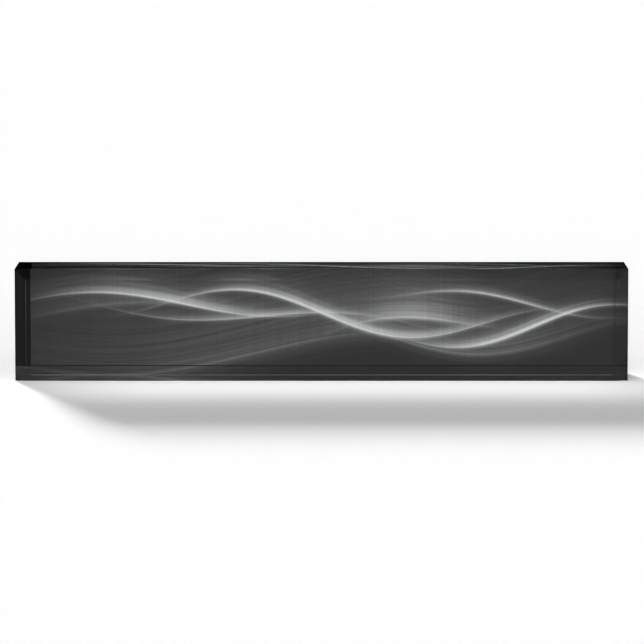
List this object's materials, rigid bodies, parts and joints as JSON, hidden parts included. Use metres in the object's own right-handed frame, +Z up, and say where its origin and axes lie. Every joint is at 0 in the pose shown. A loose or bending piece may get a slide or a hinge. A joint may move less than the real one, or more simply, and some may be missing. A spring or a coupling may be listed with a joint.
{
  "type": "desk name plate",
  "caption": "Clear acrylic desk name plate: a long bevelled block that stands on its narrow edge and shows a picture printed on its back.",
  "frame": {"origin": "middle of the footprint, on the surface that the plate stands on", "axes": "+Z up, +X along the length to the reader's right, -Y out of the front face towards the reader"},
  "size_m": [0.2076, 0.0256, 0.0381],
  "materials": {
    "clear_acrylic": "clear cast acrylic, polished in front, with faintly satin sawn edges",
    "picture_ink": "greyscale picture in cured ink, seen through the acrylic",
    "white_ink": "opaque white ink, satin and very slightly grained"
  },
  "bodies": {
    "root": {"acrylic_block": "clear_acrylic", "printed_picture": "picture_ink", "white_backing": "white_ink"}
  },
  "joints": []
}
